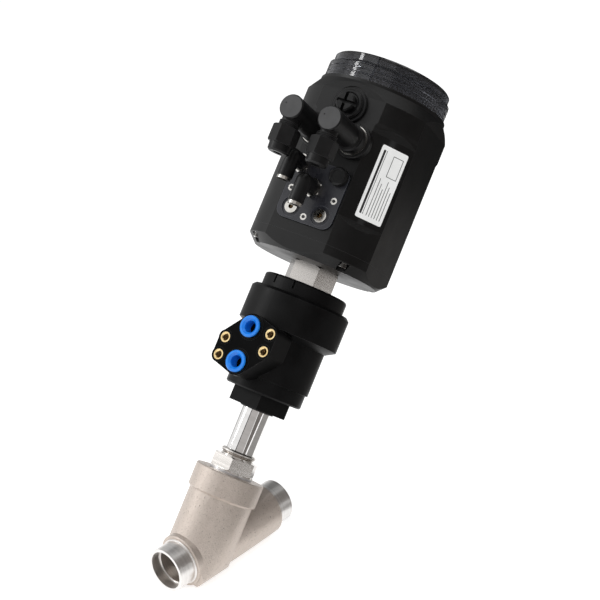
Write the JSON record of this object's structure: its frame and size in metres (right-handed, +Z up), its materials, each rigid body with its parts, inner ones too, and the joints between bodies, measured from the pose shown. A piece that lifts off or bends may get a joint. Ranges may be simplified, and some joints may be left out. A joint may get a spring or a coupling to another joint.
{
  "type": "angle seat valve",
  "caption": "Angle seat valve with weld ends, bright column, round piston actuator with an air port pad, and a black positioner with angled cable connectors and clear cap.",
  "frame": {"origin": "centre of the inlet face of the pipe run", "axes": "+X along the pipe axis to the outlet, +Z up, the stem in the XZ plane, leaning to the outlet"},
  "size_m": [0.2701, 0.0982, 0.3172],
  "materials": {
    "cast_steel": "shot-blasted",
    "tube_steel": "turned",
    "polished_steel": "polished",
    "gasket": "satin",
    "packing": "satin",
    "spring_steel": "bright",
    "actuator_black": "satin moulded",
    "housing_black": "fine grain moulded",
    "cap_smoke": "glossy",
    "collet_blue": "glossy",
    "brass": "turned",
    "nickel": "nickel plated",
    "aluminium": "machined",
    "plate_dark": "matt",
    "board_green": "lacquered",
    "grey_plastic": "satin",
    "screen_glass": "glossy",
    "fitting_black": "satin"
  },
  "bodies": {
    "valve": {"valve_body": "cast_steel", "inlet_weld_end": "tube_steel", "outlet_weld_end": "tube_steel", "bonnet_gasket": "gasket", "bonnet": "tube_steel", "guide_bush": "packing", "packing_spring": "spring_steel", "packing_rings": "packing", "packing_gland": "brass", "column_tube": "polished_steel", "column_nut": "tube_steel"},
    "stem": {"spindle": "tube_steel", "plug_disc": "tube_steel", "seat_seal": "packing", "plug_nut": "tube_steel", "piston": "aluminium", "piston_seal": "gasket", "piston_nut": "tube_steel", "stem_extension": "tube_steel", "travel_target": "grey_plastic"},
    "actuator": {"actuator_housing": "actuator_black", "cover_ring": "gasket", "actuator_cover": "actuator_black", "crown_ring": "actuator_black", "port_sleeves": "actuator_black", "pad_inserts": "brass", "adapter_nut": "tube_steel", "positioner_base": "housing_black", "base_screws": "nickel", "positioner_housing": "housing_black", "pneumatic_plate": "plate_dark", "plate_screws": "nickel", "port_inserts": "nickel", "elbow_nuts": "nickel", "blanking_plug": "fitting_black", "vent_plug": "fitting_black", "cable_bases": "fitting_black", "cable_washers": "nickel", "air_manifold": "aluminium", "pilot_valves": "grey_plastic", "travel_sensor": "grey_plastic", "circuit_board": "board_green", "display_board": "board_green", "display_fascia": "grey_plastic", "screen": "screen_glass"},
    "lower_collet": {"lower_release_collet": "collet_blue"},
    "upper_collet": {"upper_release_collet": "collet_blue"},
    "middle_fitting": {"middle_elbow": "fitting_black", "middle_elbow_ring": "nickel"},
    "side_fitting": {"side_elbow": "fitting_black", "side_elbow_ring": "nickel"},
    "left_connector": {"left_cable_body": "fitting_black"},
    "right_connector": {"right_cable_body": "fitting_black"},
    "left_gland": {"left_gland_nut": "fitting_black"},
    "right_gland": {"right_gland_nut": "fitting_black"},
    "cap": {"cap": "cap_smoke"},
    "key_1": {"key_1": "grey_plastic"},
    "key_2": {"key_2": "grey_plastic"},
    "key_3": {"key_3": "grey_plastic"},
    "key_4": {"key_4": "grey_plastic"}
  },
  "joints": [
    {"name": "stem_lift", "type": "slide", "parent": "valve", "child": "stem", "axis": [0.6018, 0, 0.7986], "range_m": [0, 0.012]},
    {"name": "actuator_swivel", "type": "hinge", "parent": "valve", "child": "actuator", "pos_m": [0.09118, 0, 0.07986], "axis": [0.6018, 0, 0.7986], "continuous": true},
    {"name": "lower_collet_press", "type": "slide", "parent": "actuator", "child": "lower_collet", "axis": [0.7943, 0.1045, -0.5985], "range_m": [0, 0.001], "stiffness_N_per_m": 500},
    {"name": "upper_collet_press", "type": "slide", "parent": "actuator", "child": "upper_collet", "axis": [0.7943, 0.1045, -0.5985], "range_m": [0, 0.001], "stiffness_N_per_m": 500},
    {"name": "middle_fitting_swivel", "type": "hinge", "parent": "actuator", "child": "middle_fitting", "pos_m": [0.14463, -0.0099, 0.22203], "axis": [-0.7782, -0.225, 0.5864], "range_deg": [0, 90]},
    {"name": "side_fitting_swivel", "type": "hinge", "parent": "actuator", "child": "side_fitting", "pos_m": [0.14994, 0.00374, 0.2343], "axis": [-0.7782, -0.225, 0.5864], "range_deg": [-90, 0]},
    {"name": "left_connector_swivel", "type": "hinge", "parent": "actuator", "child": "left_connector", "pos_m": [0.16364, 0.00332, 0.25403], "axis": [-0.7782, -0.225, 0.5864], "range_deg": [-90, 0]},
    {"name": "left_gland_turn", "type": "hinge", "parent": "left_connector", "child": "left_gland", "pos_m": [0.12451, -0.0059, 0.26849], "axis": [-0.6018, 0, -0.7986], "continuous": true},
    {"name": "right_connector_swivel", "type": "hinge", "parent": "actuator", "child": "right_connector", "pos_m": [0.16859, -0.02357, 0.25029], "axis": [-0.7782, -0.225, 0.5864], "range_deg": [0, 90]},
    {"name": "right_gland_turn", "type": "hinge", "parent": "right_connector", "child": "right_gland", "pos_m": [0.12947, -0.03279, 0.26475], "axis": [-0.6018, 0, -0.7986], "continuous": true},
    {"name": "cap_lift", "type": "slide", "parent": "actuator", "child": "cap", "axis": [0.6018, 0, 0.7986], "range_m": [0, 0.06]},
    {"name": "key_1_press", "type": "slide", "parent": "actuator", "child": "key_1", "axis": [-0.6018, 0, -0.7986], "range_m": [0, 0.0007], "stiffness_N_per_m": 400},
    {"name": "key_2_press", "type": "slide", "parent": "actuator", "child": "key_2", "axis": [-0.6018, 0, -0.7986], "range_m": [0, 0.0007], "stiffness_N_per_m": 400},
    {"name": "key_3_press", "type": "slide", "parent": "actuator", "child": "key_3", "axis": [-0.6018, 0, -0.7986], "range_m": [0, 0.0007], "stiffness_N_per_m": 400},
    {"name": "key_4_press", "type": "slide", "parent": "actuator", "child": "key_4", "axis": [-0.6018, 0, -0.7986], "range_m": [0, 0.0007], "stiffness_N_per_m": 400}
  ]
}
